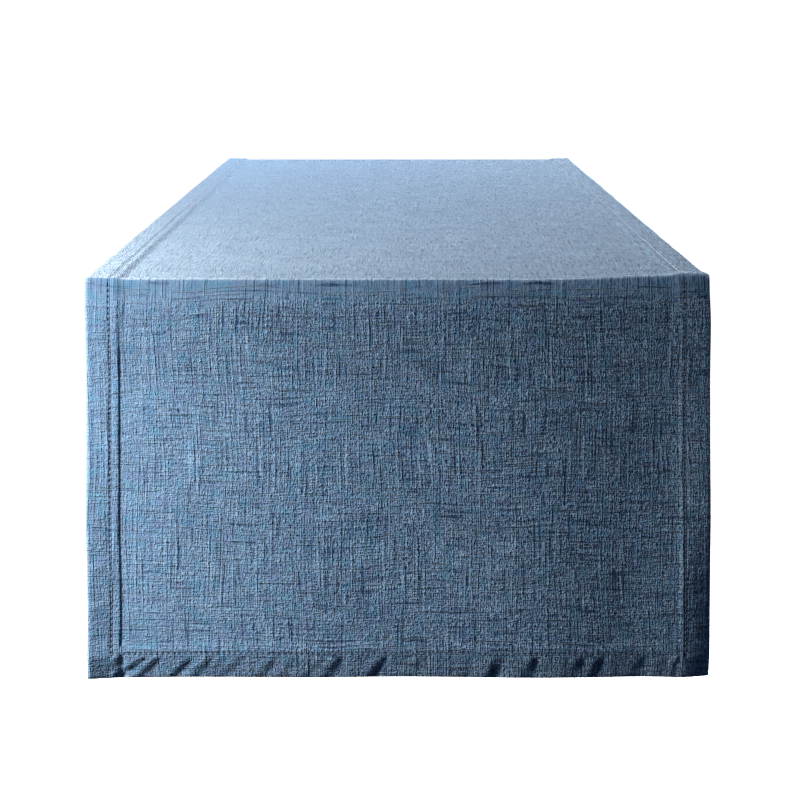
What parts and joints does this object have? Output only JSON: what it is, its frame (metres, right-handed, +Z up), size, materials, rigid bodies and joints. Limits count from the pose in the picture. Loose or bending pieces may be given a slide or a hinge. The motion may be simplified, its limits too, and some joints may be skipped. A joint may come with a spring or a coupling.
{
  "type": "table runner",
  "caption": "Long hemmed strip of blue slub cotton draped along a table, with both ends hanging over the table's edges and lockstitched double-fold hems all round.",
  "frame": {"origin": "middle of the cloth's underside, where it lies on the table top", "axes": "+X across the runner towards its right edge as seen from the front end, +Y along it towards the rear end, +Z up"},
  "size_m": [0.356, 1.3784, 0.2314],
  "materials": {
    "slub_cotton": "plain-weave slub cotton, dyed mid blue, matt",
    "sewing_thread": "twisted polyester sewing thread in the cloth's own blue, slight lustre"
  },
  "bodies": {
    "top": {"top_panel": "slub_cotton", "top_left_hem": "slub_cotton", "top_right_hem": "slub_cotton", "top_left_needle_thread": "sewing_thread", "top_left_bobbin_thread": "sewing_thread", "top_right_needle_thread": "sewing_thread", "top_right_bobbin_thread": "sewing_thread"},
    "front_drop": {"front_drop_panel": "slub_cotton", "front_left_hem": "slub_cotton", "front_right_hem": "slub_cotton", "front_end_hem": "slub_cotton", "front_needle_thread": "sewing_thread", "front_bobbin_thread": "sewing_thread"},
    "rear_drop": {"rear_drop_panel": "slub_cotton", "rear_left_hem": "slub_cotton", "rear_right_hem": "slub_cotton", "rear_end_hem": "slub_cotton", "rear_needle_thread": "sewing_thread", "rear_bobbin_thread": "sewing_thread"}
  },
  "joints": [
    {"name": "front_drop_swing", "type": "hinge", "parent": "top", "child": "front_drop", "pos_m": [0, -0.68768, 0.00089], "axis": [-1, 0, 0], "range_deg": [0, 90]},
    {"name": "rear_drop_swing", "type": "hinge", "parent": "top", "child": "rear_drop", "pos_m": [0, 0.68768, 0.00089], "axis": [1, 0, 0], "range_deg": [0, 90]}
  ]
}
